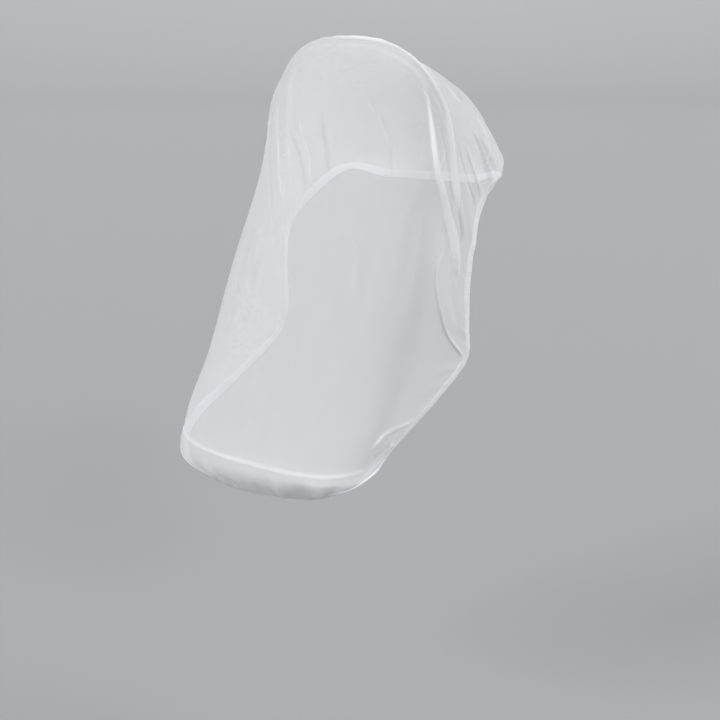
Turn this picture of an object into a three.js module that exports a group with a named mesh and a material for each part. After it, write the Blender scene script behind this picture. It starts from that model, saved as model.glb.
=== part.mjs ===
import * as THREE from 'three';

// A stroller mosquito net in millimetres: one bag of fine netting with an elastic hem all round.
// The origin is under the top of the net, where it is held. X points to the seat's left, Y back, Z up.

const NETTING = 1.8;
const HEM_THICK = 4;
const HEM_WIDTH = 10;
// Lines of the grid beside an edge, as distances from it, which give the hem its own round section.
const HEM_LINES = [0, 3, 7.5, HEM_WIDTH, 14];
const CLOTH_COLOUR = 0xeceef2;

// A table of rows with named columns.
function table(columns, rows) {
  return rows.map((row) => Object.fromEntries(columns.map((name, k) => [name, row[k]])));
}

// The sections run from the hem behind the hood, over the hood, down the front and under the foot end.
// topY, topZ: the middle of the section. sideY, sideZ: its two ends at the side hems. right, left: its half
// widths. flare: how much wider it is at the side hem. round: the share of the way down to the hem that is a
// round shoulder. square: how square that shoulder is. tilt: how far the left side is raised and the right
// side lowered. rows: grid rows up to the next section.
const SECTIONS = table([
  'name', 'topY', 'topZ', 'sideY', 'sideZ', 'right', 'left', 'flare', 'round', 'square', 'tilt', 'rows',
], [
  ['rear hem', 292, -262, 192, -262, 158, 162, 0, 0.9, 2.4, 0, 3],
  ['hood back', 294, -178, 174, -282, 176, 185, 4, 0.7, 2.5, 0, 5],
  ['hood rib', 188, -62, 130, -310, 188, 184, 17, 0.65, 2.4, 0, 5],
  ['hoop back', 32, -7, 100, -342, 186, 192, 16, 0.56, 2.5, 0, 2],
  ['hoop front', -12, -6, 84, -370, 184, 193, 17, 0.55, 2.5, 0, 5],
  ['breast', -76, -190, 72, -432, 183, 200, 12, 0.52, 2.7, 0, 5],
  ['bumper', -138, -372, 71, -493, 202, 222, -9, 0.46, 3, 0, 6],
  ['lap', -190, -530, 66, -555, 214, 212, -2, 0.4, 3.1, 0, 6],
  ['shin', -234, -634, -66, -626, 222, 206, -3, 0.5, 3.1, 0, 7],
  ['foot rim', -257, -698, -163, -672, 218, 192, -3, 0.8, 2.9, -4, 3],
  ['foot turn', -252, -730, -194, -702, 208, 184, -5, 0.9, 2.7, 8, 3],
  ['foot hem', -214, -766, -200, -734, 172, 134, -6, 0.9, 2.5, 12, 0],
]);
const SHAPE = ['topY', 'topZ', 'sideY', 'sideZ', 'right', 'left', 'flare', 'round', 'square', 'tilt'];

// Columns of the grid on one half, as shares of the way from the middle to the side hem.
const WIDE_COLUMNS = [0, 0.08, 0.16, 0.24, 0.31, 0.37];
const SIDE_COLUMNS = Array.from({ length: 11 }, (_, k) => 0.43 + 0.05 * k);
const COLUMNS = [...WIDE_COLUMNS, ...SIDE_COLUMNS];
const ARC_STEPS = 14;
const LEG_STEPS = 6;
const SLANT_STEP = 0.1;
const LEAST_SLANT = 0.42;

// Folds along the cloth. Each path is a row of places given as section and side: 3.5 is halfway between the
// fourth and fifth sections, side 1 the hem on the seat's left, -1 on its right. Width and height, from the
// start of the path to its end, are in millimetres. A height below zero is a trough.
const FOLDS = table(['name', 'width', 'height', 'path'], [
  ['long pleat', [9, 13], [8, 11], [[4, 0.33], [4.4, 0.45], [4.7, 0.62], [5, 0.79]]],
  ['hoop band', [11, 13], [6, 8], [[3.26, 0.46], [3.8, 0.6], [4.1, 0.77]]],
  ['gap behind the pleat', [11, 11], [-5, -7], [[4, 0.45], [4.3, 0.62], [4.55, 0.78]]],
  ['lower slit', [9, 13], [-6, -9], [[3.05, 0.6], [2.7, 0.73], [2.4, 0.88]]],
  ['middle slit', [9, 14], [-6, -9], [[2.55, 0.55], [2, 0.68], [1.6, 0.84]]],
  ['upper slit', [8, 15], [-4, -8], [[2.3, 0.5], [1.8, 0.62], [1.2, 0.76]]],
  ['lower tuck', [11, 13], [5, 7], [[2.8, 0.6], [2.35, 0.72], [2, 0.9]]],
  ['upper tuck', [10, 13], [5, 7], [[2.4, 0.5], [1.9, 0.64], [1.35, 0.84]]],
  ['hood dip', [20, 20], [-8, -9], [[2.8, 0.26], [2.5, 0.36], [2.3, 0.46]]],
  ['hood bulge', [24, 24], [3, 4], [[2.1, 0.3], [1.9, 0.42], [1.8, 0.52]]],
  ['drape', [13, 14], [8, 9], [[4.95, 0.74], [5.45, 0.66], [5.9, 0.66], [6.3, 0.79], [6.6, 0.92]]],
  ['drape hollow', [20, 20], [-4, -4], [[5.1, 0.85], [5.6, 0.8], [6.05, 0.87]]],
  ['foot pull', [10, 14], [8, 5], [[8.75, 0.74], [8.4, 0.68], [7.95, 0.64]]],
  ['foot fan', [9, 13], [5, 5], [[8.6, 0.7], [8.4, 0.79], [8.3, 0.9]]],
  ['arch fold', [15, 18], [3, 3], [[4.1, -0.25], [4.8, -0.21], [5.3, -0.16]]],
  ['bar end', [16, 16], [4, 4], [[5.65, -0.28], [6.05, -0.31]]],
  ['front streak', [16, 16], [3, 3], [[5.7, 0.27], [6.25, 0.3]]],
  ['rim', [12, 12], [3, 3], [[8.75, -0.86], [9, -0.5], [9.05, 0], [9, 0.5], [8.8, 0.8]]],
  ['far pleat', [11, 14], [6, 8], [[4, -0.36], [4.5, -0.55], [5, -0.82]]],
  ['far band', [12, 14], [5, 6], [[3.2, -0.46], [3.8, -0.62], [4.15, -0.8]]],
  ['far slit', [10, 15], [-5, -7], [[2.9, -0.58], [2.5, -0.74], [2.1, -0.9]]],
  ['far upper slit', [10, 15], [-4, -6], [[2.2, -0.5], [1.7, -0.68], [1.3, -0.86]]],
  ['far drape', [15, 16], [6, 6], [[5, -0.8], [5.5, -0.7], [6.1, -0.72], [6.6, -0.9]]],
  ['back tuck', [16, 14], [3, 5], [[1.9, 0.02], [1.1, 0.04], [0.1, 0.03]]],
  ['back left tuck', [15, 14], [3, 6], [[1.6, 0.34], [0.9, 0.42], [0.1, 0.46]]],
  ['back right tuck', [15, 14], [3, 6], [[1.7, -0.3], [0.9, -0.38], [0.1, -0.44]]],
]);
const FOLD_STEPS = 24;
const FOLD_TAPER = 0.18;

// Soft waves where the elastic draws the net together. Between two sections on a side hem, or between
// two sides on the rear or the foot hem. pitch: the length of one wave. reach: how far it runs into the net.
const GATHERS = table(['name', 'edge', 'between', 'pitch', 'height', 'reach'], [
  ['left side', 'left', [0.2, 6.8], 52, 3, 44],
  ['left bottom', 'left', [7, 9.2], 84, 2.6, 34],
  ['right side', 'right', [0.2, 6.8], 56, 3, 46],
  ['right bottom', 'right', [7, 9.2], 88, 2.4, 34],
  ['rear', 'rear', [-0.9, 0.9], 66, 3, 46],
  ['foot', 'foot', [-0.9, 0.9], 58, 2.4, 24],
]);

// One smooth curve through four even values.
function blend(a, b, c, d, t) {
  const square = t * t;
  const cube = square * t;
  return 0.5 * (2 * b + (c - a) * t + (2 * a - 5 * b + 4 * c - d) * square + (3 * b - a - 3 * c + d) * cube);
}

function sectionAt(u) {
  const last = SECTIONS.length - 1;
  const i = Math.min(Math.floor(u), last - 1);
  const t = u - i;
  const read = (get) => {
    const b = get(SECTIONS[i]);
    const c = get(SECTIONS[i + 1]);
    const a = i > 0 ? get(SECTIONS[i - 1]) : 2 * b - c;
    const d = i + 2 <= last ? get(SECTIONS[i + 2]) : 2 * c - b;
    return blend(a, b, c, d, t);
  };
  return Object.fromEntries(SHAPE.map((key) => [key, read((row) => row[key])]));
}

// Half of a section from the middle to the side hem: a round shoulder, then a straight leg.
function halfSection(section, side) {
  const half = side > 0 ? section.left : section.right;
  const power = 2 / section.square;
  const place = (x, down) => new THREE.Vector3(
    side * x,
    THREE.MathUtils.lerp(section.topY, section.sideY, down),
    THREE.MathUtils.lerp(section.topZ, section.sideZ, down) + section.tilt * side * (x / half),
  );
  const points = [];
  for (let k = 0; k <= ARC_STEPS; k++) {
    const angle = (k / ARC_STEPS) * (Math.PI / 2);
    points.push(place(half * Math.sin(angle) ** power, section.round * (1 - Math.cos(angle) ** power)));
  }
  for (let k = 1; k <= LEG_STEPS; k++) {
    const share = k / LEG_STEPS;
    points.push(place(half + section.flare * share, section.round + (1 - section.round) * share));
  }
  return points;
}

// Measures a line of points, to find places at a distance along it.
function measure(points) {
  const reach = [0];
  for (let k = 1; k < points.length; k++) reach.push(reach[k - 1] + points[k].distanceTo(points[k - 1]));
  const at = (distance) => {
    let k = 1;
    while (k < reach.length - 1 && reach[k] < distance) k++;
    const t = (distance - reach[k - 1]) / (reach[k] - reach[k - 1]);
    return points[k - 1].clone().lerp(points[k], t);
  };
  return { length: reach[reach.length - 1], at };
}

// The sine of the angle at which a section runs into the side hem.
function slantAt(u, side) {
  const end = (place) => halfSection(sectionAt(place), side).at(-1);
  const from = end(Math.max(u - SLANT_STEP, 0));
  const to = end(Math.min(u + SLANT_STEP, SECTIONS.length - 1));
  const leg = halfSection(sectionAt(u), side).slice(-2);
  const along = to.sub(from).normalize();
  const across = leg[1].sub(leg[0]).normalize();
  return Math.max(along.cross(across).length(), LEAST_SLANT);
}

// The shares of the way to the side hem at which a half section has its grid points.
function columnShares(length, slant) {
  const inner = 1 - HEM_LINES[HEM_LINES.length - 1] / slant / length;
  const hem = HEM_LINES.map((gap) => 1 - gap / slant / length).reverse();
  return [...COLUMNS.map((share) => share * inner), ...hem];
}

function rowPlaces() {
  const places = [];
  SECTIONS.forEach((section, i) => {
    for (let k = 0; k < section.rows; k++) places.push(i + k / section.rows);
  });
  const last = SECTIONS.length - 1;
  const span = (i) => Math.hypot(
    SECTIONS[i].topY - SECTIONS[i + 1].topY,
    SECTIONS[i].topZ - SECTIONS[i + 1].topZ,
  );
  const rear = HEM_LINES.map((gap) => gap / span(0));
  const foot = HEM_LINES.map((gap) => last - gap / span(last - 1)).reverse();
  const between = places.filter((u) => u > rear[rear.length - 1] && u < foot[0]);
  return [...rear, ...between, ...foot];
}

// The smooth cloth without its folds: for each grid point its place, and its section and side.
function smoothCloth(places) {
  return places.map((u) => {
    const section = sectionAt(u);
    const half = (side) => {
      const line = measure(halfSection(section, side));
      const slant = slantAt(u, side);
      return columnShares(line.length, slant).map((share) => (
        { point: line.at(share * line.length), section: u, side: side * share, slant }
      ));
    };
    return [...half(-1).reverse().slice(0, -1), ...half(1)];
  });
}

function clothAt(u, side) {
  const line = measure(halfSection(sectionAt(u), side < 0 ? -1 : 1));
  return line.at(Math.abs(side) * line.length);
}

// A round swell, 1 on the line of a fold and 0 at its width.
function swell(distance, width) {
  return distance < width ? Math.cos((distance / width) * (Math.PI / 2)) ** 2 : 0;
}

// A function that gives how far one fold lifts the cloth at a point.
function foldLift(fold) {
  const path = new THREE.SplineCurve(fold.path.map(([u, side]) => new THREE.Vector2(u, side)));
  const line = path.getPoints(FOLD_STEPS).map((place) => clothAt(place.x, place.y));
  return ({ point }) => {
    let nearest = Infinity;
    let t = 0;
    line.forEach((on, k) => {
      const gap = on.distanceTo(point);
      if (gap < nearest) {
        nearest = gap;
        t = k / FOLD_STEPS;
      }
    });
    const width = THREE.MathUtils.lerp(fold.width[0], fold.width[1], t);
    const height = THREE.MathUtils.lerp(fold.height[0], fold.height[1], t);
    const ends = THREE.MathUtils.smoothstep(Math.min(t, 1 - t), -FOLD_TAPER / 2, FOLD_TAPER);
    return height * ends * swell(nearest, width);
  };
}

// How far one run of gathers lifts the cloth at a point of the grid.
function gatherLift(gather, spot) {
  const alongSide = gather.edge === 'left' || gather.edge === 'right';
  const place = alongSide ? spot.section : spot.side;
  const [start, end] = gather.between;
  if (place < start || place > end) return 0;
  const t = (place - start) / (end - start);
  const along = spot.along[gather.edge] / gather.pitch;
  const uneven = along + 0.15 * Math.sin(1.7 * along) + 0.06 * Math.sin(3.1 * along);
  const ends = THREE.MathUtils.smoothstep(Math.min(t, 1 - t), 0, 0.1);
  const fade = Math.exp(-((spot.gaps[gather.edge] / gather.reach) ** 2));
  return gather.height * ends * fade * Math.sin(2 * Math.PI * uneven);
}

// Normals of a grid of points, facing out of the bag.
function gridNormals(grid) {
  const rows = grid.length;
  const columns = grid[0].length;
  return grid.map((row, i) => row.map((_, j) => {
    const down = grid[Math.min(i + 1, rows - 1)][j].clone().sub(grid[Math.max(i - 1, 0)][j]);
    const across = grid[i][Math.min(j + 1, columns - 1)].clone().sub(grid[i][Math.max(j - 1, 0)]);
    return down.cross(across).normalize();
  }));
}

// Closes the sheet between the grid and the same grid moved out by the thickness.
function sheetGeometry(inner, outer) {
  const rows = inner.length;
  const columns = inner[0].length;
  const positions = [];
  for (const grid of [inner, outer]) {
    for (const row of grid) {
      for (const point of row) positions.push(point.x, point.y, point.z);
    }
  }
  const inside = (i, j) => i * columns + j;
  const outside = (i, j) => rows * columns + i * columns + j;
  const faces = [];
  const end = columns - 1;
  const quad = (a, b, c, d) => faces.push(a, b, c, a, c, d);
  for (let i = 0; i < rows - 1; i++) {
    for (let j = 0; j < end; j++) {
      quad(outside(i, j), outside(i + 1, j), outside(i + 1, j + 1), outside(i, j + 1));
      quad(inside(i, j), inside(i, j + 1), inside(i + 1, j + 1), inside(i + 1, j));
    }
  }
  for (let j = 0; j < end; j++) {
    quad(inside(0, j), outside(0, j), outside(0, j + 1), inside(0, j + 1));
    quad(inside(rows - 1, j + 1), outside(rows - 1, j + 1), outside(rows - 1, j), inside(rows - 1, j));
  }
  for (let i = 0; i < rows - 1; i++) {
    quad(inside(i + 1, 0), outside(i + 1, 0), outside(i, 0), inside(i, 0));
    quad(inside(i, end), outside(i, end), outside(i + 1, end), inside(i + 1, end));
  }
  const geometry = new THREE.BufferGeometry();
  geometry.setAttribute('position', new THREE.Float32BufferAttribute(positions, 3));
  geometry.setIndex(faces);
  geometry.computeVertexNormals();
  return geometry;
}

// Gives each point of the grid its distances from the four edges, measured along the cloth, and how far
// along each edge it lies.
function measureEdges(grid) {
  const last = grid[0].length - 1;
  const columns = grid[0].map((_, j) => grid.map((row) => row[j]));
  const run = (spots, note) => {
    let length = 0;
    spots.forEach((spot, k) => {
      if (k > 0) length += spot.point.distanceTo(spots[k - 1].point);
      note(spot, length, k);
    });
  };
  for (const spot of grid.flat()) {
    spot.gaps = {};
    spot.along = {};
  }
  for (const row of grid) {
    run(row, (spot, length) => { spot.gaps.right = length * row[0].slant; });
    run([...row].reverse(), (spot, length) => { spot.gaps.left = length * row.at(-1).slant; });
  }
  for (const column of columns) {
    run(column, (spot, length) => { spot.gaps.rear = length; });
    run([...column].reverse(), (spot, length) => { spot.gaps.foot = length; });
  }
  const share = (line, edge, cells) => run(line, (_, length, k) => {
    for (const spot of cells(k)) spot.along[edge] = length;
  });
  share(columns[0], 'right', (k) => grid[k]);
  share(columns[last], 'left', (k) => grid[k]);
  share(grid[0], 'rear', (k) => columns[k]);
  share(grid[grid.length - 1], 'foot', (k) => columns[k]);
}

// The cloth is one layer, and round and thick in the hem.
function thickness(gaps) {
  const gap = Math.min(gaps.left, gaps.right, gaps.rear, gaps.foot);
  const inHem = THREE.MathUtils.clamp(gap / HEM_WIDTH, 0, 1);
  const round = Math.sqrt(Math.max(0, 1 - (2 * inHem - 1) ** 2));
  return NETTING + (HEM_THICK - NETTING) * round;
}

function buildNet() {
  const grid = smoothCloth(rowPlaces());
  measureEdges(grid);
  const smooth = grid.map((row) => row.map((spot) => spot.point));
  const smoothNormals = gridNormals(smooth);
  const folds = FOLDS.map(foldLift);
  const folded = grid.map((row, i) => row.map((spot, j) => {
    const lift = folds.reduce((sum, fold) => sum + fold(spot), 0);
    const waves = GATHERS.reduce((sum, gather) => sum + gatherLift(gather, spot), 0);
    return spot.point.clone().addScaledVector(smoothNormals[i][j], lift + waves);
  }));
  const normals = gridNormals(folded);
  const outer = folded.map((row, i) => row.map((point, j) => (
    point.clone().addScaledVector(normals[i][j], thickness(grid[i][j].gaps))
  )));
  const material = new THREE.MeshStandardMaterial({ color: CLOTH_COLOUR, roughness: 0.85, metalness: 0 });
  const mesh = new THREE.Mesh(sheetGeometry(folded, outer), material);
  mesh.name = 'net';
  return mesh;
}

const model = new THREE.Group();
model.add(buildNet());
export default model;
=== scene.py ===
"""A stroller mosquito net: one bag of fine knitted netting, gathered on a narrow elastic hem all round."""

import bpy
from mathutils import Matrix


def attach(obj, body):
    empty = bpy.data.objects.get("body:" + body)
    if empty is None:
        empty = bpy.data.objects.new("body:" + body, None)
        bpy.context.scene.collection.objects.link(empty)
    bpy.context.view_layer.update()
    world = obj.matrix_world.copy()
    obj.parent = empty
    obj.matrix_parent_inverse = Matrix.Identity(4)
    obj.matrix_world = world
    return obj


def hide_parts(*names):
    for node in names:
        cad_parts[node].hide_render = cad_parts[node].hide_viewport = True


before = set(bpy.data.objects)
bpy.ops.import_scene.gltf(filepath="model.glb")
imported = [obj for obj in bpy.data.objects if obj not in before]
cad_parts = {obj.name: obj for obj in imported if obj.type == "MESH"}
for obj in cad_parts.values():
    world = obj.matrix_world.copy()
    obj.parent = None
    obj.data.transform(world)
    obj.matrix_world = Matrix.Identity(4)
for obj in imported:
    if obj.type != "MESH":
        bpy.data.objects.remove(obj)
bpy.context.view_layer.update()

import math

import bpy
import numpy as np

MM = 0.001

# The photograph's camera, in the net's frame
CAMERA_PLACE = (1.362, -1.880, -0.003)
CAMERA_TURN = math.radians(35.37)
CAMERA_DIP = math.radians(13.61)
CAMERA_LENS = 65.5
CAMERA_SIGHT = 200

# The floor lies this far below the top of the net, and sweeps up all round far away
FLOOR_DROP = 1.143
FLOOR_FLAT = 26.0
SWEEP_RISE = 14.0
SWEEP_STEPS = 20
SWEEP_SIDES = 96
BACKDROP = (0.375, 0.38, 0.39)

# Lamps: where each stands, in degrees round from the front towards +X and up, how wide it is, and how strong
LAMPS = [
    dict(name="key", azimuth=-36, height=32, spread=30, strength=2.0),
    dict(name="fill", azimuth=72, height=20, spread=36, strength=2.5),
    dict(name="low", azimuth=18, height=5, spread=20, strength=0.9),
    dict(name="back", azimuth=160, height=42, spread=40, strength=1.0),
]
AIR_COLOUR = (0.94, 0.96, 1.0)
AIR_STRENGTH = 0.4


def table(columns, rows):
    """Rows with named columns."""
    return [dict(zip(columns.split(), row)) for row in rows]


# Sections of the cloth in millimetres, from the rear hem over the top and down the front to the foot hem.
# topY, topZ: the middle. sideY, sideZ: the ends at the side hems. right, left: half widths.
# flare: how much wider it is at the hem. round: the share of the way down that is a round shoulder.
# square: how square the shoulder is. tilt: how far the left side is raised and the right lowered.
SHAPE = "topY topZ sideY sideZ right left flare round square tilt"
SECTIONS = table("name " + SHAPE, [
    ("rear hem", 292, -262, 192, -262, 154, 156, 0, 0.9, 2.4, 0),
    ("back", 294, -178, 174, -282, 176, 185, 4, 0.7, 2.5, 0),
    ("crown", 188, -62, 130, -310, 188, 184, 17, 0.65, 2.4, 0),
    ("ridge back", 32, -7, 100, -342, 186, 192, 16, 0.56, 2.5, 0),
    ("ridge front", -12, -6, 84, -370, 184, 193, 17, 0.55, 2.5, 0),
    ("upper front", -76, -190, 72, -432, 183, 200, 12, 0.52, 2.7, 0),
    ("front", -138, -372, 71, -493, 202, 222, -9, 0.46, 3, 0),
    ("lower front", -190, -530, 66, -555, 214, 212, -2, 0.4, 3.1, 0),
    ("foot top", -234, -634, -66, -626, 222, 206, -3, 0.5, 3.1, 0),
    ("foot rim", -257, -698, -163, -672, 218, 192, -3, 0.8, 2.9, -4),
    ("foot turn", -252, -730, -194, -702, 208, 184, -5, 0.9, 2.7, 8),
    ("foot hem", -214, -766, -204, -736, 158, 134, -6, 0.9, 2.5, 12),
])
LAST = len(SECTIONS) - 1

# The steps along a section's shoulder and leg, and the sheet's blocks: rows of them, columns on each half,
# and how many of the most bent ones are cut in four
ARC_STEPS = 40
LEG_STEPS = 12
ROWS = 171
HALF_COLUMNS = 80
FINE_BLOCKS = 6000

# Round corners: the points that each takes up along the side hem, at the rear and at the foot, and along the
# end hem, and how much is cut off, which stays under 0.5
CORNER_ROWS = (60, 50)
CORNER_COLUMNS = 92
CORNER_ROUND = 0.47

# How closely rows lie at given sections, and columns at given shares of the way to the side hem, and the
# steps that these are measured in
ROW_CLOSENESS = ((0, 2, 5, 5.6, 8, 8.6, 11), (1.0, 1.2, 1.2, 0.8, 0.8, 1.3, 1.2))
COLUMN_CLOSENESS = ((0, 0.25, 0.4, 1.0), (0.7, 0.8, 1.3, 1.2))
ROW_SAMPLES = 600
COLUMN_SAMPLES = 200

# Folds in millimetres. Each path is a row of places: the section, and the side from 0 at the middle to 1 at
# the left hem, on +X, and -1 at the right hem. width, height and lean each go from the path's start to its
# end. width: on either side of the path. lean: how far the crest lies over to one side. steep: how narrow
# the cloth is on that side, as a share of the width. doubled: how much more thread it shows where the net
# lies double, below 0 where it is stretched thin.
FOLDS = table("name width height lean steep doubled path", [
    ("long pleat", (3.5, 13), (6, 10), (-4, -5), 0.35, 1.9,
     ((4.04, 0.365), (4.42, 0.46), (4.62, 0.535), (4.7, 0.63), (4.74, 0.7), (4.82, 0.78), (5.02, 0.86))),
    ("ridge crease", (3.5, 7), (1.5, 4), (1, 0), 0.5, 1.5,
     ((3.81, -0.06), (3.79, 0.08), (3.76, 0.2), (3.74, 0.3), (3.72, 0.37), (3.66, 0.45), (3.66, 0.52))),
    ("ridge band", (6, 11), (4, 8), (-2, -5), 0.35, 1.9,
     ((3.62, 0.47), (3.84, 0.56), (4.0, 0.63), (4.13, 0.7), (4.26, 0.77))),
    ("gap behind the pleat", (4, 4), (-3, -4), (0, 0), 1, -0.8,
     ((4.12, 0.47), (4.23, 0.56), (4.31, 0.65), (4.38, 0.73))),
    ("gap below the band", (5, 7), (-5, -5), (0, 0), 1, -2, ((4.26, 0.79), (4.32, 0.83), (4.43, 0.86))),
    ("lower slit", (4, 6), (-4, -5), (0, 0), 1, -2, ((3.09, 0.64), (2.87, 0.76), (2.6, 0.87))),
    ("middle slit", (4, 6.5), (-4, -6), (0, 0), 1, -2, ((2.37, 0.59), (1.97, 0.7), (1.55, 0.81))),
    ("upper slit", (4, 8), (-4, -6), (0, 0), 1, -2, ((2.12, 0.6), (1.8, 0.67), (1.4, 0.76))),
    ("lower tuck", (8, 10), (4, 6), (3, 5), 0.5, 0.8, ((2.74, 0.64), (2.46, 0.75), (2.14, 0.87))),
    ("upper tuck", (4, 5), (3, 4), (1, 2), 0.6, 0.8, ((2.25, 0.6), (1.9, 0.69), (1.5, 0.79))),
    ("crown dip", (20, 20), (-8, -9), (0, 0), 1, 0, ((2.8, 0.26), (2.5, 0.36), (2.3, 0.46))),
    ("crown bulge", (24, 24), (3, 4), (0, 0), 1, 0, ((2.1, 0.3), (1.9, 0.42), (1.8, 0.52))),
    ("drape", (5, 6), (5, 6), (3, 4), 0.5, 1.0,
     ((5.29, 0.68), (5.64, 0.63), (5.98, 0.66), (6.32, 0.76), (6.54, 0.85), (6.8, 0.94))),
    ("drape hollow", (20, 20), (-4, -4), (0, 0), 1, 0, ((5.1, 0.85), (5.6, 0.8), (6.05, 0.87))),
    ("foot pull", (4, 6), (4, 4), (2, 3), 0.5, 0.9,
     ((8.2, 0.65), (8.01, 0.64), (7.9, 0.67), (7.9, 0.78), (7.92, 0.93))),
    ("low foot slit", (3, 4), (-3, -3), (0, 0), 1, -1.2, ((8.3, 0.8), (8.36, 0.75), (8.46, 0.72))),
    ("foot slit", (4, 5), (-3, -4), (0, 0), 1, -1.2, ((7.98, 0.84), (7.96, 0.75), (7.99, 0.66))),
    ("arch fold", (13, 16), (3, 3), (0, 0), 1, 0.1, ((4.1, -0.25), (4.8, -0.21), (5.3, -0.16))),
    ("side bulge", (14, 14), (4, 4), (0, 0), 1, 0, ((5.65, -0.28), (6.05, -0.31))),
    ("front streak", (14, 14), (3, 3), (0, 0), 1, 0, ((5.7, 0.27), (6.25, 0.3))),
    ("rim", (6, 6), (1.5, 2), (0, 0), 1, 0.6, ((8.9, -0.8), (9, -0.5), (9.05, 0), (9, 0.5), (8.8, 0.8))),
    ("far pleat", (7, 10), (7, 9), (5, 7), 0.5, 0.9, ((4, -0.36), (4.5, -0.55), (5, -0.82))),
    ("far band", (8, 9), (5, 7), (-4, -5), 0.5, 0.7, ((3.2, -0.46), (3.8, -0.62), (4.15, -0.8))),
    ("far slit", (5, 7), (-5, -7), (0, 0), 1, -0.9, ((2.9, -0.58), (2.5, -0.74), (2.1, -0.9))),
    ("far upper slit", (5, 8), (-4, -6), (0, 0), 1, -0.9, ((2.2, -0.5), (1.7, -0.68), (1.3, -0.86))),
    ("far tuck", (7, 10), (5, 7), (-4, -6), 0.5, 0.7, ((2.6, -0.56), (2.2, -0.7), (1.8, -0.88))),
    ("far drape", (15, 17), (3, 4), (-3, -4), 0.7, 0.15,
     ((5, -0.8), (5.5, -0.7), (6.1, -0.72), (6.6, -0.9))),
    ("back tuck", (10, 9), (4, 6), (4, 5), 0.5, 0.6, ((1.9, 0.02), (1.1, 0.04), (0.1, 0.03))),
    ("back left tuck", (10, 9), (4, 7), (4, 5), 0.5, 0.6, ((1.6, 0.34), (0.9, 0.42), (0.1, 0.46))),
    ("back right tuck", (10, 9), (4, 7), (-4, -5), 0.5, 0.6, ((1.7, -0.3), (0.9, -0.38), (0.1, -0.44))),
    ("foot right gather", (15, 18), (1, 3), (0, 0), 1, 0.15, ((9.5, -0.44), (10.1, -0.52), (10.7, -0.64))),
    ("foot middle gather", (15, 18), (1, 3), (0, 0), 1, 0.15, ((9.5, -0.04), (10.1, -0.1), (10.7, -0.2))),
    ("foot second gather", (15, 18), (1, 3), (0, 0), 1, 0.15, ((9.55, 0.16), (10.1, 0.17), (10.7, 0.14))),
    ("foot left gather", (15, 18), (1, 3), (0, 0), 1, 0.15, ((9.5, 0.44), (10.1, 0.54), (10.7, 0.6))),
    # Fine creases that only the netting itself shows
    ("ridge front line", (4, 4), (0.8, 0.8), (0, 0), 1, 0.5,
     ((4, -0.95), (4, -0.6), (4, -0.3), (4, 0), (4, 0.3), (4, 0.6), (4, 0.9))),
    ("ridge back line", (4, 4), (0.7, 0.7), (0, 0), 1, 0.4,
     ((3, -0.95), (3, -0.6), (3, -0.3), (3, 0), (3, 0.3), (3, 0.6), (3, 0.9))),
    ("left streak", (4, 4), (1.4, 1), (0, 0), 1, 0.4, ((4.05, -0.5), (4.5, -0.44), (5, -0.38))),
    ("low left streak", (4, 4), (1.6, 1), (0, 0), 1, 0.4, ((5.5, -0.56), (5.9, -0.6), (6.3, -0.62))),
    ("low streak", (4, 4), (1.4, 0.8), (0, 0), 1, 0.4, ((5.95, -0.2), (6.2, -0.21), (6.5, -0.2))),
])

# The steps along a fold's path, and how far past its width its points are looked for, in millimetres
FOLD_STEPS = 40
FOLD_MARGIN = 4

# The share of a fold's length in which it dies away, and how sharp the edge of its doubled cloth is
FOLD_TAPER = 0.18
FOLD_CRISP = 5

# Soft creases that hang from the top: their pitch, height and half span in millimetres, the section where
# they are highest, how many sections they fade over, and the share that is left far away. Finer ones lie
# between them, with their pitch and height as shares.
HANG_PITCH = 46.0
HANG_HEIGHT = 0.45
HANG_SPAN = 430
HANG_MIDDLE = 4.6
HANG_FADE = 1.9
HANG_LEAST = 0.25
FINER_PITCH = 0.61
FINER_HEIGHT = 0.7

# Gathers on the elastic along each edge, from broad to fine, in millimetres: the length of a wave, its
# height at the hem, and how far it runs into the net
EDGES = ("right", "left", "rear", "foot")
GATHERS = table("pitch height reach", [
    (47, 2.6, 75),
    (22, 1.9, 46),
    (11, 1.2, 26),
])

# The share of a gather's height at the hem itself, the length in which gathers start beside a corner, how
# steeply they fade, how far they wander in waves, and how much their height varies
GATHER_HELD = 0.15
GATHER_ENDS = 40
GATHER_FADE = 1.4
GATHER_WANDER = 0.28
GATHER_DRIFT = 0.2
GATHER_UNEVEN = 0.35

# How far the elastic turns the rear hem in, over what reach, in millimetres, and in which sections it ends
TURN_IN = 9
TURN_REACH = 34
TURN_END = (1.5, 3.5)

# The hem: netting turned over an elastic, in millimetres, made in rings of HEM_ROUND points a step apart
HEM_WIDTH = 16.0
HEM_THICK = 2.2
HEM_STEP = 1.5
HEM_ROUND = 14

# Its ruffles, and how much thicker and thinner it gets by turns along them
RUFFLE_PITCH = 6.5
RUFFLE_HEIGHT = 0.35
RUFFLE_UNEVEN = 0.3
PUCKER = 0.25

# How many times the hem's line and its directions are evened out
HEM_CALM = 16
FRAME_CALM = 60

# Stitches that close the hem, in millimetres, and their line's place as a share of the hem's width
STITCH_SPACING = 3.2
STITCH_LENGTH = 3.0
STITCH_THICK = 0.5
STITCH_SLANT = math.radians(24)
STITCH_LINE = 0.8
STITCH_SIDES = 6
STITCH_RINGS = 4
THREAD_WHITE = (0.9, 0.9, 0.92)
THREAD_TWISTS = 900.0

# The netting: how deep its threads are and how far apart its six-sided holes, in millimetres
THREAD_DEEP = 0.2
HOLE_PITCH = 1.4

# The share of the cloth that is thread: where it lies flat, how much more for each fold's doubled, and how
# much more beside each hem, where the elastic draws it up
COVER = 0.26
COVER_DOUBLED = 0.38
COVER_FADE = 1.5
DRAWN = table("edge share reach", [
    ("right", 0.2, 28),
    ("left", 0.16, 28),
    ("rear", 0.32, 20),
    ("foot", 0.5, 90),
])
COVER_LEAST, COVER_MOST = 0.07, 0.92

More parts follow.
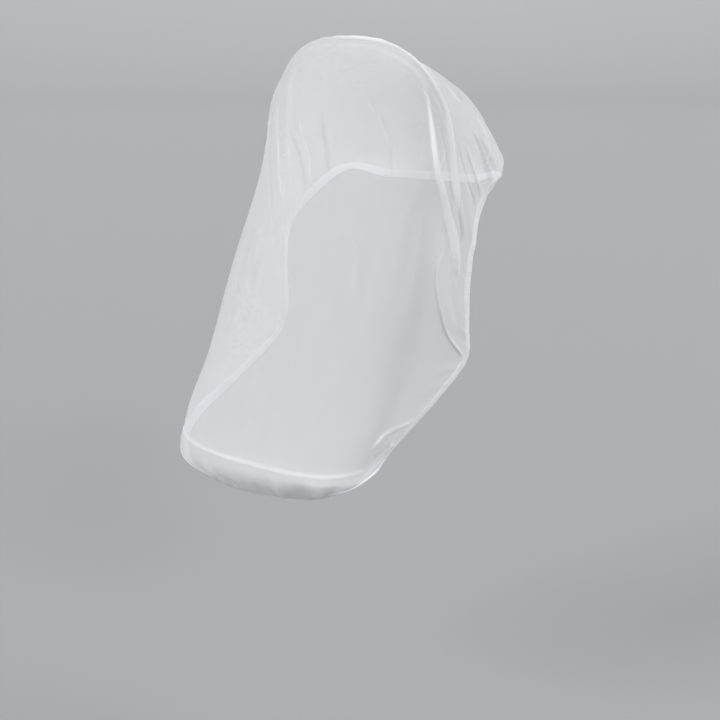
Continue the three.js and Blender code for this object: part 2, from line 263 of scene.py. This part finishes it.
# Streaks down the net, where its holes are pulled closer: how much, and how many a metre across and down
STREAK_COVER = 0.07
STREAKS = (55.0, 5.0, 1.0)

# The hem's own share of thread, in its hollows and on its ridges, and its lines in millimetres
COVER_HEM = 0.85
COVER_RIDGE = 0.2
PUCKER_LINE = 1.6
PUCKER_DEEP = 0.4
PUCKER_WAVER = 5.0
WAVER_SCALE = 160.0

# The threads' colour, and the share of light that they let through
WHITE = (0.93, 0.935, 0.955)
GLOW = 0.06


def catmull(a, b, c, d, t):
    """A smooth curve from b to c."""
    return 0.5 * (2 * b + (c - a) * t + (2 * a - 5 * b + 4 * c - d) * t**2 + (3 * b - a - 3 * c + d) * t**3)


def section_at(u):
    """The section at a place between two rows of the table."""
    i = min(int(u), LAST - 1)
    t = u - i
    values = {}
    for key in SHAPE.split():
        b, c = SECTIONS[i][key], SECTIONS[i + 1][key]
        a = SECTIONS[i - 1][key] if i > 0 else 2 * b - c
        d = SECTIONS[i + 2][key] if i + 2 <= LAST else 2 * c - b
        values[key] = catmull(a, b, c, d, t)
    return values


def half_section(section, side):
    """Half a section from the middle to the side hem: a round shoulder, then a straight leg."""
    half = section["left"] if side > 0 else section["right"]
    power = 2 / section["square"]
    angle = np.linspace(0, math.pi / 2, ARC_STEPS + 1)
    share = np.linspace(0, 1, LEG_STEPS + 1)[1:]
    across = np.concatenate([half * np.sin(angle) ** power, half + section["flare"] * share])
    down = np.concatenate([
        section["round"] * (1 - np.clip(np.cos(angle), 0, 1) ** power),
        section["round"] + (1 - section["round"]) * share,
    ])
    y = section["topY"] + (section["sideY"] - section["topY"]) * down
    z = section["topZ"] + (section["sideZ"] - section["topZ"]) * down
    z += section["tilt"] * side * across / half
    return np.stack([side * across, y, z], axis=1)


def along(points, shares):
    """Places at the given shares of a line's length, and that length."""
    reach = np.concatenate([[0], np.cumsum(np.linalg.norm(np.diff(points, axis=0), axis=1))])
    where = np.asarray(shares) * reach[-1]
    return np.stack([np.interp(where, reach, points[:, k]) for k in range(3)], axis=-1), reach[-1]


def smooth_cloth(places, shares):
    """The cloth without folds, its points by row and column."""
    points = np.empty((len(places), 2 * len(shares) - 1, 3))
    for i, u in enumerate(places):
        right, left = (along(half_section(section_at(u), side), shares)[0] for side in (-1, 1))
        points[i] = np.concatenate([right[::-1][:-1], left])
    return points


def row_places():
    """Section places for the rows, closer together where there are more folds."""
    fine = np.linspace(0, LAST, ROW_SAMPLES)
    points = smooth_cloth(fine, np.array([0, 0.5, 1.0]))
    steps = np.linalg.norm(np.diff(points, axis=0), axis=2).mean(axis=1)
    steps *= np.interp((fine[1:] + fine[:-1]) / 2, *ROW_CLOSENESS)
    reach = np.concatenate([[0], np.cumsum(steps)])
    return np.interp(np.linspace(0, reach[-1], 2 * ROWS - 1), reach, fine)


def column_shares():
    """Shares of the way from the middle to the side hem, closer together where there are more folds."""
    fine = np.linspace(0, 1, COLUMN_SAMPLES)
    reach = np.concatenate([[0], np.cumsum(np.interp((fine[1:] + fine[:-1]) / 2, *COLUMN_CLOSENESS))])
    return np.interp(np.linspace(0, reach[-1], 2 * HALF_COLUMNS + 1), reach, fine)


def normals_of(points):
    """Outward normals of a grid of points."""
    down = np.gradient(points, axis=0)
    across = np.gradient(points, axis=1)
    normal = np.cross(down, across)
    return normal / np.linalg.norm(normal, axis=2, keepdims=True)


def with_round_corners(values):
    """Values on the cloth's grid, drawn in so that its four corners come out round."""
    rows, columns = values.shape[:2]
    i, j = np.meshgrid(np.arange(rows, dtype=float), np.arange(columns, dtype=float), indexing="ij")
    from_end, from_side = np.minimum(i, rows - 1 - i), np.minimum(j, columns - 1 - j)
    deep = np.where(i < rows / 2, *CORNER_ROWS)
    y = np.clip(1 - from_end / deep, 0, 1)
    x = np.clip(1 - from_side / CORNER_COLUMNS, 0, 1)
    i += np.where(i < rows / 2, 1, -1) * deep * y * (1 - np.sqrt(1 - CORNER_ROUND * x**2))
    j += np.where(j < columns / 2, 1, -1) * CORNER_COLUMNS * x * (1 - np.sqrt(1 - CORNER_ROUND * y**2))
    top, first = np.minimum(i.astype(int), rows - 2), np.minimum(j.astype(int), columns - 2)
    s, t = (i - top)[..., None], (j - first)[..., None]
    upper = values[top, first] * (1 - t) + values[top, first + 1] * t
    lower = values[top + 1, first] * (1 - t) + values[top + 1, first + 1] * t
    return upper * (1 - s) + lower * s


def smoothstep(x, low, high):
    """From 0 below low to 1 above high, with soft ends."""
    t = np.clip((x - low) / (high - low), 0, 1)
    return t * t * (3 - 2 * t)


def spline(path, steps):
    """A smooth line through a few places on the cloth."""
    path = np.array(path, dtype=float)
    padded = np.concatenate([[2 * path[0] - path[1]], path, [2 * path[-1] - path[-2]]])
    line = []
    for t in np.linspace(0, len(path) - 1, steps + 1):
        i = min(int(t), len(path) - 2)
        line.append(catmull(*padded[i:i + 4], t - i))
    return np.array(line)


def place_on(line):
    """Points of the smooth cloth at a line of places."""
    points = []
    for u, side in line:
        point, _ = along(half_section(section_at(min(max(u, 0), LAST)), 1 if side >= 0 else -1), [abs(side)])
        points.append(point[0])
    return np.array(points)


def nearest_on(line, spots):
    """For each spot: the gap to the line, how far along the line it is, and the vector to it."""
    start, step = line[:-1], np.diff(line, axis=0)
    share = ((spots[:, None] - start) * step).sum(axis=2) / (step**2).sum(axis=1)
    share = np.clip(share, 0, 1)
    away = spots[:, None] - start - share[..., None] * step
    gaps = np.linalg.norm(away, axis=2)
    k = gaps.argmin(axis=1)
    rows = np.arange(len(spots))
    return gaps[rows, k], (k + share[rows, k]) / len(step), away[rows, k], step[k]


def add_fold(points, normals, moved, doubled, fold):
    """Lifts the cloth along one fold, and lays its crest over to the side."""
    line = place_on(spline(fold["path"], FOLD_STEPS))
    reach = max(fold["width"]) + FOLD_MARGIN
    near = np.all((points > line.min(axis=0) - reach) & (points < line.max(axis=0) + reach), axis=2)
    if not near.any():
        return
    gap, t, away, way = nearest_on(line, points[near])
    width = np.interp(t, [0, 1], fold["width"])
    height = np.interp(t, [0, 1], fold["height"])
    lean = np.interp(t, [0, 1], fold["lean"])
    aside = np.cross(way / np.linalg.norm(way, axis=1, keepdims=True), normals[near])
    towards = (away * aside).sum(axis=1) * np.sign(lean)
    width = np.where(towards > 0, width * fold["steep"], width)
    side = np.clip(gap / width, 0, 1)
    ends = smoothstep(np.minimum(t, 1 - t), -FOLD_TAPER / 2, FOLD_TAPER)
    swell = np.cos(side * math.pi / 2) ** 2 * ends
    moved[near] += (height * swell)[:, None] * normals[near] + (lean * swell)[:, None] * aside
    doubled[near] += fold["doubled"] * ends * (1 - side**FOLD_CRISP)


def edge_measures(points):
    """For each edge: how far each point lies from it, and how far along it."""
    steps_down = np.linalg.norm(np.diff(points, axis=0), axis=2)
    steps_across = np.linalg.norm(np.diff(points, axis=1), axis=2)
    rows, columns = points.shape[:2]
    from_rear = np.concatenate([np.zeros((1, columns)), np.cumsum(steps_down, axis=0)])
    from_right = np.concatenate([np.zeros((rows, 1)), np.cumsum(steps_across, axis=1)], axis=1)
    gaps = {
        "rear": from_rear,
        "foot": from_rear[-1:] - from_rear,
        "right": from_right,
        "left": from_right[:, -1:] - from_right,
    }
    runs = {
        "rear": np.broadcast_to(from_right[:1], (rows, columns)),
        "foot": np.broadcast_to(from_right[-1:], (rows, columns)),
        "right": np.broadcast_to(from_rear[:, :1], (rows, columns)),
        "left": np.broadcast_to(from_rear[:, -1:], (rows, columns)),
    }
    return gaps, runs


def gather_lift(gaps, runs):
    """Waves that the elastic draws into the net, broad ones far in and fine ones near the hem."""
    lift = np.zeros_like(gaps["rear"])
    # Sines of unlike lengths, so that no stretch of hem repeats another
    for e, edge in enumerate(EDGES):
        run = runs[edge]
        ends = smoothstep(run, 0, GATHER_ENDS) * smoothstep(run.max() - run, 0, GATHER_ENDS)
        for k, wave in enumerate(GATHERS):
            turn = run / wave["pitch"] + GATHER_WANDER * np.sin(run / 31 + e)
            turn += GATHER_DRIFT * np.sin(run / 53 + 2 * k)
            strength = 1 - GATHER_UNEVEN + GATHER_UNEVEN * np.sin(run / 67 + 1.7 * e + k)
            free = smoothstep(gaps[edge], HEM_WIDTH / 2, HEM_WIDTH + wave["pitch"] / 2)
            fade = np.exp(-(gaps[edge] / wave["reach"]) ** GATHER_FADE)
            fade *= GATHER_HELD + (1 - GATHER_HELD) * free
            lift += wave["height"] * strength * ends * fade * np.sin(2 * math.pi * turn)
    return lift


def mesh_piece(name, points, faces, uv):
    """A smooth mesh object in metres, with its UV map by point."""
    mesh = bpy.data.meshes.new(name)
    mesh.from_pydata(np.asarray(points).tolist(), [], faces)
    mesh.update()
    layer = mesh.uv_layers.new(name="cloth")
    corner = np.empty(len(mesh.loops), dtype=np.int32)
    mesh.loops.foreach_get("vertex_index", corner)
    layer.data.foreach_set("uv", np.asarray(uv, dtype=np.float32)[corner].ravel())
    mesh.polygons.foreach_set("use_smooth", [True] * len(mesh.polygons))
    piece = bpy.data.objects.new(name, mesh)
    bpy.context.scene.collection.objects.link(piece)
    return piece


def sheet_faces(points):
    """Faces of the cloth: blocks of two rows by two columns, the most bent of them in four."""
    columns = points.shape[1]
    corners = points[:-2:2, :-2:2] + points[2::2, :-2:2] + points[:-2:2, 2::2] + points[2::2, 2::2]
    sides = points[1::2, :-2:2] + points[1::2, 2::2] + points[:-2:2, 1::2] + points[2::2, 1::2]
    bend = np.linalg.norm(points[1::2, 1::2] - corners / 4, axis=2)
    bend += np.linalg.norm(sides - corners, axis=2) / 4
    fine = np.zeros(bend.size, dtype=bool)
    fine[np.argsort(-bend.ravel(), kind="stable")[:FINE_BLOCKS]] = True
    fine = np.pad(fine.reshape(bend.shape), 1)
    faces = []
    for i in range(bend.shape[0]):
        for j in range(bend.shape[1]):
            a = 2 * i * columns + 2 * j
            b, c, d = a + 2 * columns, a + 2 * columns + 2, a + 2
            left, low, right, high = a + columns, b + 1, d + columns, a + 1
            middle = left + 1
            if fine[i + 1, j + 1]:
                faces += [
                    (a, left, middle, high), (left, b, low, middle),
                    (middle, low, c, right), (high, middle, right, d),
                ]
                continue
            round_it = [
                (a, True), (left, fine[i + 1, j]), (b, True), (low, fine[i + 2, j + 1]),
                (c, True), (right, fine[i + 1, j + 2]), (d, True), (high, fine[i, j + 1]),
            ]
            faces.append(tuple(point for point, there in round_it if there))
    return faces


def tube_faces(rings, around):
    """Faces of a closed tube, ring after ring."""
    faces = []
    for i in range(rings):
        here, there = i * around, (i + 1) % rings * around
        for j in range(around):
            k = (j + 1) % around
            faces.append((here + j, here + k, there + k, there + j))
    return faces


def hanging_lift(places, shares):
    """Soft uneven creases that run down from the top and fade towards the foot."""
    side = np.concatenate([-shares[:0:-1], shares])[None, :]
    u = places[:, None]
    # Sines of unlike lengths, so that no crease repeats another
    across = side * HANG_SPAN + 14 * np.sin(u * 2.3) + 8 * np.sin(u * 5.1)
    wave = np.sin(2 * math.pi * across / HANG_PITCH + 2.4 * np.sin(across / 41) + 0.6 * u)
    finer = 2 * math.pi * across / (HANG_PITCH * FINER_PITCH) - 0.8 * u + 1.9 * np.sin(across / 67)
    wave += FINER_HEIGHT * np.sin(finer)
    fade = np.exp(-((u - HANG_MIDDLE) / HANG_FADE) ** 2) + HANG_LEAST
    return HANG_HEIGHT * wave * fade * (0.5 + 0.5 * np.sin(1.9 * u + across / 57))


def turned_in(places, gaps):
    """How far the elastic draws the cloth in along the rear hem and its corners."""
    gap = np.minimum(np.minimum(gaps["left"], gaps["right"]), gaps["rear"])
    return TURN_IN * np.exp(-(gap / TURN_REACH) ** 2) * (1 - smoothstep(places, *TURN_END))[:, None]


def net_surface():
    """The folded cloth, its normals before it was folded, how double it lies, and its gaps to the edges."""
    places, shares = row_places(), column_shares()
    smooth = smooth_cloth(places, shares)
    normals = with_round_corners(normals_of(smooth))
    smooth = with_round_corners(smooth)
    moved = smooth.copy()
    doubled = np.zeros(smooth.shape[:2])
    for fold in FOLDS:
        add_fold(smooth, normals, moved, doubled, fold)
    gaps, runs = edge_measures(smooth)
    lift = gather_lift(gaps, runs) + hanging_lift(places, shares) - turned_in(places, gaps)
    moved += lift[..., None] * normals
    return moved, normals, doubled, gaps


def build_net():
    """The net: one sheet of thin netting."""
    points, normals, doubled, gaps = net_surface()
    rows, columns = points.shape[:2]
    down = np.cumsum(np.linalg.norm(np.diff(points, axis=0), axis=2), axis=0)
    down = np.concatenate([np.zeros((1, columns)), down])
    across = np.cumsum(np.linalg.norm(np.diff(points, axis=1), axis=2), axis=1)
    across = np.concatenate([np.zeros((rows, 1)), across], axis=1)
    middle = columns // 2
    across -= across[:, middle:middle + 1]
    uv = np.stack([across, np.broadcast_to(down[:, middle:middle + 1], across.shape)], axis=-1) * MM
    drawn = [row["share"] * np.exp(-(gaps[row["edge"]] / row["reach"]) ** COVER_FADE) for row in DRAWN]
    cover = COVER + COVER_DOUBLED * doubled + np.maximum.reduce(drawn)
    faces = sheet_faces(points)
    used = np.unique(np.concatenate([np.array(face) for face in faces]))
    place = np.zeros(rows * columns, dtype=int)
    place[used] = np.arange(len(used))
    faces = [tuple(place[list(face)].tolist()) for face in faces]
    net = mesh_piece("net_sheet", points.reshape(-1, 3)[used] * MM, faces, uv.reshape(-1, 2)[used])
    layer = net.data.attributes.new("cover", "FLOAT", "POINT")
    cover = np.clip(cover.ravel()[used], COVER_LEAST, COVER_MOST)
    layer.data.foreach_set("value", cover.astype(np.float32))
    thickness = net.modifiers.new("thread", "SOLIDIFY")
    thickness.thickness = THREAD_DEEP * MM
    thickness.offset = 0
    return net, points, normals


def evened_round(values, rounds):
    """Values round a closed line, each drawn towards its neighbours a number of times."""
    for _ in range(rounds):
        values = (np.roll(values, 1, axis=0) + values + np.roll(values, -1, axis=0)) / 3
    return values


def rim_line(points, normals):
    """The edge of the cloth as a closed line, with the directions into the cloth and out of its face."""
    down, across = np.gradient(points, axis=0), np.gradient(points, axis=1)
    pick = [
        (slice(0, -1), 0, across, 1), (-1, slice(0, -1), down, -1),
        (slice(None, 0, -1), -1, across, -1), (0, slice(None, 0, -1), down, 1),
    ]
    line = np.concatenate([points[i, j] for i, j, _, _ in pick])
    inward = np.concatenate([sign * way[i, j] for i, j, way, sign in pick])
    out = np.concatenate([normals[i, j] for i, j, _, _ in pick])
    steps = np.linalg.norm(np.roll(line, -1, axis=0) - line, axis=1)
    reach = np.concatenate([[0], np.cumsum(steps)])
    count = int(reach[-1] / HEM_STEP)
    where = np.linspace(0, reach[-1], count, endpoint=False)

    def even(values):
        closed = np.concatenate([values, values[:1]])
        return np.stack([np.interp(where, reach, closed[:, k]) for k in range(3)], axis=1)

    line, inward, out = even(line), even(inward), even(out)
    line = evened_round(line, HEM_CALM)
    way = np.roll(line, -1, axis=0) - np.roll(line, 1, axis=0)
    way /= np.linalg.norm(way, axis=1, keepdims=True)
    out = evened_round(out, FRAME_CALM)
    out -= (out * way).sum(axis=1, keepdims=True) * way
    out /= np.linalg.norm(out, axis=1, keepdims=True)
    sideways = np.cross(out, way)
    inward = sideways * np.sign((sideways * inward).sum())
    return line, inward, out, where


def build_hem(points, normals):
    """The hem casing: a flat tube of netting round the elastic, puckered along its length."""
    line, inward, out, where = rim_line(points, normals)
    pucker = np.sin(2 * math.pi * where / RUFFLE_PITCH + 1.3 * np.sin(where / 17))
    pucker *= 1 - RUFFLE_UNEVEN + RUFFLE_UNEVEN * np.sin(where / 41)
    angle = np.linspace(0, 2 * math.pi, HEM_ROUND, endpoint=False)
    wide = HEM_WIDTH / 2 * np.cos(angle)
    thick = HEM_THICK / 2 * np.sin(angle)
    outer_share = np.clip(0.5 - np.cos(angle) / 2, 0, 1)
    swollen = thick[None] * (1 + PUCKER * pucker[:, None])
    swollen += RUFFLE_HEIGHT * pucker[:, None] * outer_share[None]
    rings = line[:, None] + inward[:, None] * (HEM_WIDTH / 2 + wide)[None, :, None]
    rings += out[:, None] * swollen[..., None]
    girth = angle * HEM_WIDTH / math.pi
    uv = np.stack(np.broadcast_arrays(where[:, None], girth[None]), axis=-1) * MM
    faces = tube_faces(len(line), HEM_ROUND)
    hem = mesh_piece("hem_casing", rings.reshape(-1, 3) * MM, faces, uv.reshape(-1, 2))
    return hem, line, inward, out


def node_maker(tree):
    """A helper that adds a node with its settings, and links or sets its inputs."""
    def node(kind, inputs=(), **settings):
        made = tree.nodes.new(kind)
        for key, value in settings.items():
            setattr(made, key, value)
        for socket, value in dict(inputs).items():
            if isinstance(value, bpy.types.NodeSocket):
                tree.links.new(value, made.inputs[socket])
            else:
                made.inputs[socket].default_value = value
        return made

    return node


def stitch_tree(material):
    """Stitches at even distances along a line, each slanted the other way from the last."""
    tree = bpy.data.node_groups.new("hem stitches", "GeometryNodeTree")
    sizes = {
        "Spacing": STITCH_SPACING * MM,
        "Length": STITCH_LENGTH * MM,
        "Thickness": STITCH_THICK * MM,
        "Slant": STITCH_SLANT,
    }
    tree.interface.new_socket("Geometry", in_out="INPUT", socket_type="NodeSocketGeometry")
    for name in sizes:
        tree.interface.new_socket(name, in_out="INPUT", socket_type="NodeSocketFloat")
    tree.interface.new_socket("Geometry", in_out="OUTPUT", socket_type="NodeSocketGeometry")
    node = node_maker(tree)
    given = node("NodeGroupInput").outputs
    curve = node("GeometryNodeMeshToCurve", {"Mesh": given["Geometry"]}).outputs["Curve"]
    spaced = {"Curve": curve, "Length": given["Spacing"]}
    spots = node("GeometryNodeCurveToPoints", spaced, mode="LENGTH").outputs
    laid = node("GeometryNodeInputNamedAttribute", {"Name": "out"}, data_type="FLOAT_VECTOR")
    out = laid.outputs["Attribute"]
    upright = node("FunctionNodeAlignRotationToVector", {"Vector": out}, axis="Z").outputs[0]
    along_line = node("FunctionNodeAlignRotationToVector", {
        "Rotation": upright, "Vector": spots["Tangent"],
    }, axis="X", pivot_axis="Z").outputs[0]
    index = node("GeometryNodeInputIndex").outputs[0]
    flip = node("ShaderNodeMath", {0: index, 1: 2.0}, operation="FLOORED_MODULO").outputs[0]
    way = node("ShaderNodeMath", {0: flip, 1: 2.0, 2: -1.0}, operation="MULTIPLY_ADD").outputs[0]
    slant = node("ShaderNodeMath", {0: way, 1: given["Slant"]}, operation="MULTIPLY").outputs[0]
    turn = node("ShaderNodeCombineXYZ", {"Z": slant}).outputs[0]
    turn = node("FunctionNodeEulerToRotation", {0: turn}).outputs[0]
    turned = node("FunctionNodeRotateRotation", {0: along_line, 1: turn}, rotation_space="LOCAL").outputs[0]
    bead = node("GeometryNodeMeshUVSphere", {
        "Segments": STITCH_SIDES, "Rings": STITCH_RINGS, "Radius": 0.5,
    }).outputs["Mesh"]
    size = node("ShaderNodeCombineXYZ", {
        "X": given["Length"], "Y": given["Thickness"], "Z": given["Thickness"],
    }).outputs[0]
    stitches = node("GeometryNodeInstanceOnPoints", {
        "Points": spots["Points"], "Instance": bead, "Rotation": turned, "Scale": size,
    }).outputs[0]
    solid = node("GeometryNodeRealizeInstances", {0: stitches}).outputs[0]
    smooth = node("GeometryNodeSetShadeSmooth", {0: solid}).outputs[0]
    finished = node("GeometryNodeSetMaterial", {"Geometry": smooth, "Material": material}).outputs[0]
    node("NodeGroupOutput", {"Geometry": finished})
    return tree, sizes


def build_stitches(line, inward, out, material):
    """The stitching along the inner side of the hem."""
    rise = HEM_THICK / 2 * math.sqrt(1 - (2 * STITCH_LINE - 1) ** 2) + STITCH_THICK / 2
    points = (line + inward * HEM_WIDTH * STITCH_LINE + out * rise) * MM
    count = len(points)
    path = bpy.data.meshes.new("stitch_path")
    path.from_pydata(points.tolist(), [(k, (k + 1) % count) for k in range(count)], [])
    layer = path.attributes.new("out", "FLOAT_VECTOR", "POINT")
    layer.data.foreach_set("vector", out.astype(np.float32).ravel())
    guide = bpy.data.objects.new("stitch_path", path)
    bpy.context.scene.collection.objects.link(guide)
    tree, sizes = stitch_tree(material)
    modifier = guide.modifiers.new("stitches", "NODES")
    modifier.node_group = tree
    for socket in tree.interface.items_tree:
        if socket.in_out == "INPUT" and socket.name in sizes:
            modifier[socket.identifier] = sizes[socket.name]
    shown = guide.evaluated_get(bpy.context.evaluated_depsgraph_get())
    mesh = bpy.data.meshes.new_from_object(shown)
    mesh.name = "hem_stitches"
    bpy.data.objects.remove(guide)
    stitches = bpy.data.objects.new("hem_stitches", mesh)
    bpy.context.scene.collection.objects.link(stitches)
    return stitches


def fresh_material(name):
    """A material without nodes, and a helper that adds them."""
    material = bpy.data.materials.new(name)
    material.use_nodes = True
    material.node_tree.nodes.clear()
    return material, node_maker(material.node_tree)


def maths(node, operation, *values):
    """One step of sums on numbers."""
    return node("ShaderNodeMath", dict(enumerate(values)), operation=operation).outputs[0]


def vectors(node, operation, *values, out=0):
    """One step of sums on vectors."""
    return node("ShaderNodeVectorMath", dict(enumerate(values)), operation=operation).outputs[out]


def thread_cover(node, cloth, cover):
    """1 on the threads of six-sided netting and 0 in its holes, for a share of cloth that is thread.

    The holes' centres lie on two grids of oblong cells, and each point belongs to the nearer centre.
    """
    scaled = vectors(node, "SCALE", cloth)
    scaled.node.inputs["Scale"].default_value = 1 / (HOLE_PITCH * MM)
    cell = (1.0, math.sqrt(3), 1.0)
    half = (0.5, math.sqrt(3) / 2, 0.5)
    one = vectors(node, "SUBTRACT", vectors(node, "WRAP", scaled, cell, (0, 0, 0)), half)
    shifted = vectors(node, "ADD", scaled, half)
    two = vectors(node, "SUBTRACT", vectors(node, "WRAP", shifted, cell, (0, 0, 0)), half)
    gap_one = vectors(node, "LENGTH", one, out="Value")
    gap_two = vectors(node, "LENGTH", two, out="Value")
    nearer = maths(node, "LESS_THAN", gap_one, gap_two)
    spot = node("ShaderNodeMix", {"Factor": nearer, 4: two, 5: one}, data_type="VECTOR").outputs[1]
    spot = vectors(node, "ABSOLUTE", spot)
    slanted = vectors(node, "DOT_PRODUCT", spot, (0.5, math.sqrt(3) / 2, 0), out="Value")
    straight = node("ShaderNodeSeparateXYZ", {0: spot}).outputs[0]
    from_centre = maths(node, "MAXIMUM", slanted, straight)
    hole = maths(node, "MULTIPLY", maths(node, "SQRT", maths(node, "SUBTRACT", 1.0, cover)), 0.5)
    return maths(node, "GREATER_THAN", from_centre, hole)


def holed_shader(node, holed, **sockets):
    """White threads that let some light through them, with open holes between them."""
    thread = node("ShaderNodeBsdfPrincipled", {
        "Base Color": (*WHITE, 1),
        "Roughness": 0.9,
        "Specular IOR Level": 0.2,
        "Sheen Weight": 0.1,
        **sockets,
    })
    glow = node("ShaderNodeBsdfTranslucent", {"Color": (*WHITE, 1)})
    cloth = node("ShaderNodeMixShader", {0: GLOW, 1: thread.outputs[0], 2: glow.outputs[0]})
    clear = node("ShaderNodeBsdfTransparent")
    whole = node("ShaderNodeMixShader", {0: holed, 1: clear.outputs[0], 2: cloth.outputs[0]})
    node("ShaderNodeOutputMaterial", {"Surface": whole.outputs[0]})


def netting_material():
    """White netting with six-sided holes that follow the cloth, closer where it is double or drawn up."""
    material, node = fresh_material("netting")
    cloth = node("ShaderNodeUVMap", uv_map="cloth").outputs[0]
    laid = node("ShaderNodeAttribute", attribute_name="cover").outputs["Fac"]
    pulled = vectors(node, "MULTIPLY", cloth, STREAKS)
    streaks = node("ShaderNodeTexNoise", {"Vector": pulled, "Scale": 1.0, "Detail": 4.0}).outputs["Fac"]
    cover = maths(node, "ADD", laid, maths(node, "MULTIPLY_ADD", streaks, 2 * STREAK_COVER, -STREAK_COVER))
    holed_shader(node, thread_cover(node, cloth, cover))
    return material


def casing_material():
    """The hem: netting turned over and drawn up on the elastic, with lines where it puckers."""
    material, node = fresh_material("hem casing")
    cloth = node("ShaderNodeUVMap", uv_map="cloth").outputs[0]
    run = node("ShaderNodeSeparateXYZ", {0: cloth}).outputs[0]
    waver = node("ShaderNodeTexNoise", {"Vector": cloth, "Scale": WAVER_SCALE, "Detail": 2.0}).outputs["Fac"]
    waver = maths(node, "MULTIPLY", waver, PUCKER_WAVER)
    turns = maths(node, "MULTIPLY_ADD", run, 2 * math.pi / (PUCKER_LINE * MM), waver)
    ridge = maths(node, "MULTIPLY_ADD", maths(node, "SINE", turns), 0.5, 0.5)
    deep = PUCKER_DEEP * MM
    raised = node("ShaderNodeBump", {"Height": ridge, "Distance": deep, "Strength": 0.5}).outputs[0]
    cover = maths(node, "MULTIPLY_ADD", ridge, COVER_RIDGE, COVER_HEM)
    holed_shader(node, thread_cover(node, cloth, cover), Normal=raised)
    return material


def thread_material():
    """White sewing thread, twisted, that lets a little light through."""
    material, node = fresh_material("sewing thread")
    place = node("ShaderNodeTexCoord").outputs["Object"]
    turns = {"Vector": place, "Scale": THREAD_TWISTS, "Distortion": 1.0}
    twist = node("ShaderNodeTexWave", turns).outputs["Fac"]
    raised = node("ShaderNodeBump", {"Height": twist, "Distance": 0.0001, "Strength": 0.5}).outputs[0]
    colour = (*THREAD_WHITE, 1)
    shader = node("ShaderNodeBsdfPrincipled", {
        "Base Color": colour, "Roughness": 0.6, "Normal": raised, "Sheen Weight": 0.2,
    })
    glow = node("ShaderNodeBsdfTranslucent", {"Color": colour})
    whole = node("ShaderNodeMixShader", {0: GLOW, 1: shader.outputs[0], 2: glow.outputs[0]})
    node("ShaderNodeOutputMaterial", {"Surface": whole.outputs[0]})
    return material


def backdrop_material():
    """Plain matte paper."""
    material, node = fresh_material("backdrop")
    shader = node("ShaderNodeBsdfPrincipled", {
        "Base Color": (*BACKDROP, 1), "Roughness": 0.9, "Specular IOR Level": 0.1,
    })
    node("ShaderNodeOutputMaterial", {"Surface": shader.outputs[0]})
    return material


def add_camera():
    """The camera at the photograph's angle."""
    data = bpy.data.cameras.new("camera")
    data.lens = CAMERA_LENS
    data.clip_end = CAMERA_SIGHT
    camera = bpy.data.objects.new("camera", data)
    camera.location = CAMERA_PLACE
    camera.rotation_euler = (math.pi / 2 - CAMERA_DIP, 0, CAMERA_TURN)
    bpy.context.scene.collection.objects.link(camera)
    bpy.context.scene.camera = camera


def add_backdrop():
    """A pale floor that curves up all round, like a studio's paper sweep."""
    profile = [(0.0, 0.0), (FLOOR_FLAT, 0.0)]
    for k in range(1, SWEEP_STEPS + 1):
        turn = math.pi / 2 * k / SWEEP_STEPS
        profile.append((FLOOR_FLAT + SWEEP_RISE * math.sin(turn), SWEEP_RISE * (1 - math.cos(turn))))
    points = [(0, 0, -FLOOR_DROP)]
    for reach, height in profile[1:]:
        for k in range(SWEEP_SIDES):
            turn = 2 * math.pi * k / SWEEP_SIDES
            points.append((reach * math.cos(turn), reach * math.sin(turn), height - FLOOR_DROP))
    faces = [(0, 1 + k, 1 + (k + 1) % SWEEP_SIDES) for k in range(SWEEP_SIDES)]
    for ring in range(len(profile) - 2):
        for k in range(SWEEP_SIDES):
            here = 1 + ring * SWEEP_SIDES + k
            beside = 1 + ring * SWEEP_SIDES + (k + 1) % SWEEP_SIDES
            faces.append((here, here + SWEEP_SIDES, beside + SWEEP_SIDES, beside))
    sweep = mesh_piece("backdrop", points, faces, [(0, 0)] * len(points))
    sweep.data.materials.append(backdrop_material())


def soft_light(name, azimuth, height, spread, strength):
    """A large soft lamp a long way off, given by where it stands in degrees."""
    data = bpy.data.lights.new(name, "SUN")
    data.angle = math.radians(spread)
    data.energy = strength
    lamp = bpy.data.objects.new(name, data)
    lamp.rotation_euler = (math.radians(90 - height), 0, math.radians(azimuth))
    bpy.context.scene.collection.objects.link(lamp)


def add_lights():
    """Soft studio light: two wide lamps in front, a low one for the underside, one behind, and pale air."""
    for lamp in LAMPS:
        soft_light(**lamp)
    world = bpy.data.worlds.new("studio")
    world.use_nodes = True
    air = world.node_tree.nodes["Background"].inputs
    air["Color"].default_value = (*AIR_COLOUR, 1)
    air["Strength"].default_value = AIR_STRENGTH
    bpy.context.scene.world = world
    bpy.context.scene.view_settings.view_transform = "Standard"


def main():
    """The camera, the three pieces of the net, and the studio."""
    add_camera()
    net, points, normals = build_net()
    hem, line, inward, out = build_hem(points, normals)
    thread = thread_material()
    stitches = build_stitches(line, inward, out, thread)
    net.data.materials.append(netting_material())
    hem.data.materials.append(casing_material())
    for piece in (net, hem, stitches):
        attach(piece, "root")
    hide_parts("net")
    add_backdrop()
    add_lights()


main()
